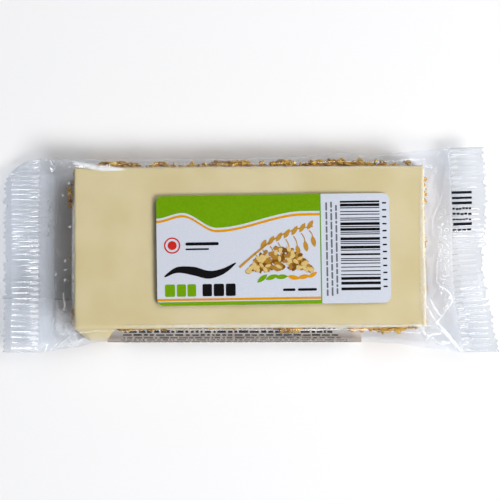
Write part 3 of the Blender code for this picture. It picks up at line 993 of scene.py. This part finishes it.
brush = stroke(((2.6, 28.3), (7.0, 26.0), (12.5, 26.4), (18.0, 27.8), (23.0, 26.6), (27.4, 23.8)),
               (0.4, 2.0, 3.0, 2.8, 1.9, 0.4), 50)
black_marks = [brush, dash(10.0, 16.4, 11.6, 1.1), dash(10.0, 18.5, 8.2, 0.6)]
black_marks += [dash(p, 31.0, width, 4.3, 0.5) for p, width in ((15.7, 3.3), (19.6, 3.6), (23.8, 3.4))]
black_marks += [dash(43.6, 33.0, 4.4, 0.9), dash(48.8, 33.0, 6.6, 0.9)]
stripe_at = 2.6
while stripe_at < 34.2:
    bar = draw.choice((0.33, 0.33, 0.66, 0.99))
    black_marks.append(patch(63.9, stripe_at, 13.7, bar, cell=7.0))
    stripe_at += bar + draw.choice((0.33, 0.33, 0.66, 0.66, 0.99))
for n in range(13):
    black_marks.append(dash(78.5, 3.2 + n * 2.44, 1.5, 0.55, 0.2))
print_marks("black", "0C0B0D", black_marks)

grey_marks = []
for column in (58.8, 60.5, 62.2):
    q = 2.6 + draw.uniform(0, 1.5)
    while q < 35.0:
        word = draw.uniform(0.9, 3.4)
        grey_marks.append(dash(column, q, 0.62, min(word, 35.8 - q), 0.2))
        q += word + 0.45
print_marks("grey", "6B6D74", grey_marks)

stalk = ((28.6, 25.4), (34.5, 20.4), (41.0, 15.6), (47.5, 12.6), (54.4, 11.4))
gold_marks = [stroke(stalk, (0.9, 0.75, 0.65, 0.5, 0.4), 40)]
for n in range(8):
    t = n / 7
    p, q = 34.0 + 19.0 * t, 20.6 - 9.4 * t + 1.6 * t * t
    drop = 2.6 + 1.6 * math.sin(math.pi * t)
    gold_marks.append(stroke(((p, q), (p + 1.0, q + drop * 0.5), (p + 1.3, q + drop)), (0.4, 0.36, 0.3), 6))
    gold_marks.append(grain(p + 1.5, q + drop + 1.3, 4.0, 1.7, 78, 0.6))
    if n > 0:
        gold_marks.append(grain(p + 0.4, q - 1.9, 3.8, 1.6, -58, 0.6))
print_marks("gold", "B98A34", gold_marks)

flake_inks = (("brown", "7A4E12"), ("tan", "A87A2E"), ("straw", "D8BC78"))
for layer, (shade, colour) in enumerate(flake_inks):
    flake_marks = []
    for n in range((110, 80, 44)[layer]):
        t = draw.uniform(-1, 1)
        up = draw.uniform(0.05, 0.95) * 8.6 * (1 - abs(t) ** 2.2)
        length, width, turn = draw.uniform(1.5, 2.5), draw.uniform(1.0, 1.6), draw.uniform(0, 180)
        flake_marks.append(grain(42.8 + 11.0 * t, 26.8 - up, length, width, turn, 0.15))
        flake_marks[-1].location.z = 0.0003 * n
        bpy.ops.object.transform_apply(location=True, rotation=False, scale=False)
    print_marks(shade, colour, flake_marks, 2 + 1.2 * layer)


# Back label
# A thin uncoated label on the underside, stuck up to the widest line of the front side. Seen from
# above through the clear film it shows its greyish back, with its rows of small dark print
# struck through. The rows are drawn as plain dashes.
BACK_LABEL_ENDS = (-49.5, 39.2)
BACK_LABEL_BACK = 20.0
BACK_LIFT = 0.26
BACK_PAPER = 0.09
BACK_HEIGHT = HALF_FLAT + BACK_LABEL_BACK
ROW_PITCH = 1.45
ROWS_TOGETHER = 9


def on_back(x, g, lift):
    """A point of the back label, at g round the film from its widest line at the front."""
    here = over_bar(x, g - HALF_FLAT, False)
    run = over_bar(x, g + 0.2 - HALF_FLAT, False) - over_bar(x, max(0.0, g - 0.2) - HALF_FLAT, False)
    outward = Vector((0, run.z, -run.y)).normalized()
    return at(here + outward * lift)


back_sheet = patch(BACK_LABEL_ENDS[0], 0.0, BACK_LABEL_ENDS[1] - BACK_LABEL_ENDS[0], BACK_HEIGHT, cell=0.8)
back_paper_piece = lay([back_sheet], lambda x, g: on_back(x, g, BACK_LIFT), BACK_PAPER)
bpy.ops.object.shade_smooth_by_angle(angle=PAPER_EDGE)

# Uncoated label paper: thin and greyish, and the adhesive and film behind it dull it further.
grey_paper = grained("uncoated_label_paper", ((1.1, 4.0),), ((0.3, "F4ECE4"), (0.7, "FBF5EF")),
                     Roughness=0.6, IOR=1.5)
finish_piece(back_paper_piece, "back_label_paper", grey_paper)
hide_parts("back_label")

places = []
draw = random.Random(19)
g = 0.75
row_number = 0
while g < BACK_HEIGHT - 2.0:
    x = BACK_LABEL_ENDS[0] + 4.6 + draw.uniform(0, 1.5)
    last = BACK_LABEL_ENDS[1] - 3.5 - draw.uniform(0, 8)
    while x < last:
        word = draw.uniform(0.5, 3.4)
        size = Matrix.Diagonal((min(word, last - x + 0.3), draw.uniform(0.7, 1.0), 1, 1))
        places.append(Matrix.Translation((x, g, 0)) @ size)
        x += word + draw.uniform(0.4, 0.9)
    row_number += 1
    g += ROW_PITCH * (2.0 if row_number % ROWS_TOGETHER == 0 else 1.0)
row_bars = joined_copies(patch(0, 0, 1, 1, cell=0.4), places)
row_fields = lay([row_bars], lambda x, g: on_back(x, g, BACK_LIFT + INK_LIFT), BACK_PAPER + 2 * INK_LIFT)
dark_ink = print_ink("dark_label_ink", "0C0B0D")
finish_piece(row_fields, "back_label_print", dark_ink)


# Code on the right seal
# A short dark code jetted on the film before the jaws crimped it, so it breaks into bars on the
# crests. Plain bars stand for it here.
CODE_FROM = 19.9
CODE_BARS = ((0.95, 1), (0.85, 1), (1.0, 1), (0.75, 6), (0.8, 5), (0.6, 6), (1.05, 1), (0.7, 4))
CODE_OUT = (0.3, 7.5)

draw = random.Random(3)
code_marks = []
for n, (height, pieces) in enumerate(CODE_BARS):
    start = CODE_OUT[0] + draw.uniform(0, 0.4)
    length = (CODE_OUT[1] - start) / pieces
    for k in range(pieces):
        top_edge = CODE_FROM - CRIMP_PITCH * 0.972 * n + (draw.uniform(-0.12, 0.12) if pieces > 1 else 0)
        width = length * (draw.uniform(0.72, 0.92) if pieces > 1 else 1)
        code_marks.append(patch(start + k * length, top_edge, width, height, cell=0.35))


def on_code(out, s):
    """A point of the code: out along the right seal, on top of the film."""
    place = on_seal(1, out, s, True)
    place.z += INK_LIFT
    return at(place)


code = lay(code_marks, on_code, INK_DEPTH)
jet_ink = print_ink("jet_code_ink", "181C28")
finish_piece(code, "seal_code", jet_ink)


# Loose crumbs
# Broken flakes and crumbs that came off the sawn ends and lie in the ends of the pack and along the
# back, where the film keeps them.
only()
bpy.ops.mesh.primitive_ico_sphere_add(subdivisions=1, radius=0.5)
crumb = bpy.context.object
draw = random.Random(12)
for vertex in crumb.data.vertices:
    vertex.co *= draw.uniform(0.7, 1.2)
places = []


def drop_crumbs(count, low, high, least, most):
    """Crumbs of the given sizes, spread in a box measured from the middle of the bar's underside."""
    for _ in range(count):
        point = Vector([draw.uniform(a, b) for a, b in zip(low, high)])
        size = draw.uniform(least, most)
        turn = Euler([draw.uniform(0, math.tau) for _ in range(3)]).to_matrix().to_4x4()
        shape = Matrix.Diagonal((draw.uniform(0.8, 1.5), draw.uniform(0.7, 1.1), draw.uniform(0.4, 0.8), 1))
        places.append(Matrix.Translation(in_pack(point)) @ turn @ shape @ Matrix.Scale(size * MM, 4))


drop_crumbs(9, (-63.0, -24, 1.6), (-61.3, 26, 2.6), 0.5, 1.1)
drop_crumbs(9, (-63.2, 15, 5.0), (-61.6, 23, 10.5), 0.9, 1.9)
drop_crumbs(4, (61.3, -20, 2.0), (61.9, 24, 2.6), 0.4, 0.9)
drop_crumbs(6, (61.4, 15, 7.0), (62.1, 21.5, 11.0), 0.5, 1.1)
drop_crumbs(4, (61.2, -1, 6.0), (61.9, 3, 10.0), 0.5, 0.9)
drop_crumbs(52, (-52, 28.6, 5.5), (56, 30.6, 11.8), 0.7, 1.9)
crumbs = joined_copies(crumb, places, BAR_BOTTOM * MM, (BAR_BOTTOM + BAR_HEIGHT) * MM)
press_inside(crumbs)
finish_piece(crumbs, "loose_crumbs", toasted)


# Floor, light and camera
# A plain pale table, a softbox at the front right that throws the label's shadow to the left and
# back, a wide one at the back right, and strips at the front, back and left that only show as
# gleams on the film. A long lens looks down from 82.5 degrees.
PX_PER_MM = 2.877
PHOTO_CENTRE = (250.0, 250.0)
BAR_PX = (249.3, 251.9)
ELEVATION = math.radians(82.5)
CAMERA_DISTANCE = 1.6
SENSOR = 36.0
LOOK_HEIGHT = 13.8

only()
bpy.ops.mesh.primitive_plane_add(size=3.0)
floor = bpy.context.object
floor.name = "floor"
table = start_material("matt_white_table", Roughness=0.9, Base_Color=linear("F5F5F6"),
                       Specular_IOR_Level=0.1)[0]
floor.data.materials.append(table)


def softbox(name, toward, distance, size, power, only_mirrored=False):
    """A rectangular area light, placed toward a direction from the bar and facing it."""
    light = bpy.data.lights.new(name, "AREA")
    light.shape = "RECTANGLE"
    light.size, light.size_y = size
    light.energy = power
    lamp = bpy.data.objects.new(name, light)
    bpy.context.scene.collection.objects.link(lamp)
    toward = Vector(toward).normalized()
    lamp.location = toward * distance
    lamp.rotation_euler = toward.to_track_quat("Z", "Y").to_euler()
    lamp.visible_diffuse = not only_mirrored
    return lamp


softbox("key_softbox", (0.70, -0.50, 0.75), 2.2, (0.85, 0.85), 46.5)
softbox("side_softbox", (0.72, 0.48, 1.0), 1.7, (1.2, 1.2), 13.0)
softbox("front_strip", (-0.05, -0.80, 0.60), 1.1, (2.2, 0.14), 12.0, only_mirrored=True)
softbox("back_strip", (-0.05, 0.85, 0.60), 1.1, (2.2, 0.14), 10.0, only_mirrored=True)
softbox("left_box", (-0.80, -0.22, 0.66), 1.1, (0.5, 0.5), 1.45, only_mirrored=True)

world = bpy.data.worlds.new("studio")
world.use_nodes = True
world.node_tree.nodes["Background"].inputs["Color"].default_value = linear("F4F6FA")
world.node_tree.nodes["Background"].inputs["Strength"].default_value = 0.16
bpy.context.scene.world = world
bpy.context.scene.view_settings.view_transform = "Standard"

toward = Vector((0, -math.cos(ELEVATION), math.sin(ELEVATION)))
look_x = BAR_X + (PHOTO_CENTRE[0] - BAR_PX[0]) / PX_PER_MM
rise = (BAR_PX[1] - PHOTO_CENTRE[1]) / PX_PER_MM
look_y = BAR_Y + (rise - LOOK_HEIGHT * math.cos(ELEVATION)) / math.sin(ELEVATION)
camera_data = bpy.data.cameras.new("camera")
camera_data.sensor_width = SENSOR
camera_data.lens = SENSOR * CAMERA_DISTANCE / (500 / PX_PER_MM * MM)
camera_data.clip_start = 0.1
camera_data.clip_end = 20
camera = bpy.data.objects.new("camera", camera_data)
bpy.context.scene.collection.objects.link(camera)
camera.location = Vector((look_x, look_y, LOOK_HEIGHT)) * MM + toward * CAMERA_DISTANCE
camera.rotation_euler = toward.to_track_quat("Z", "Y").to_euler()
bpy.context.scene.camera = camera
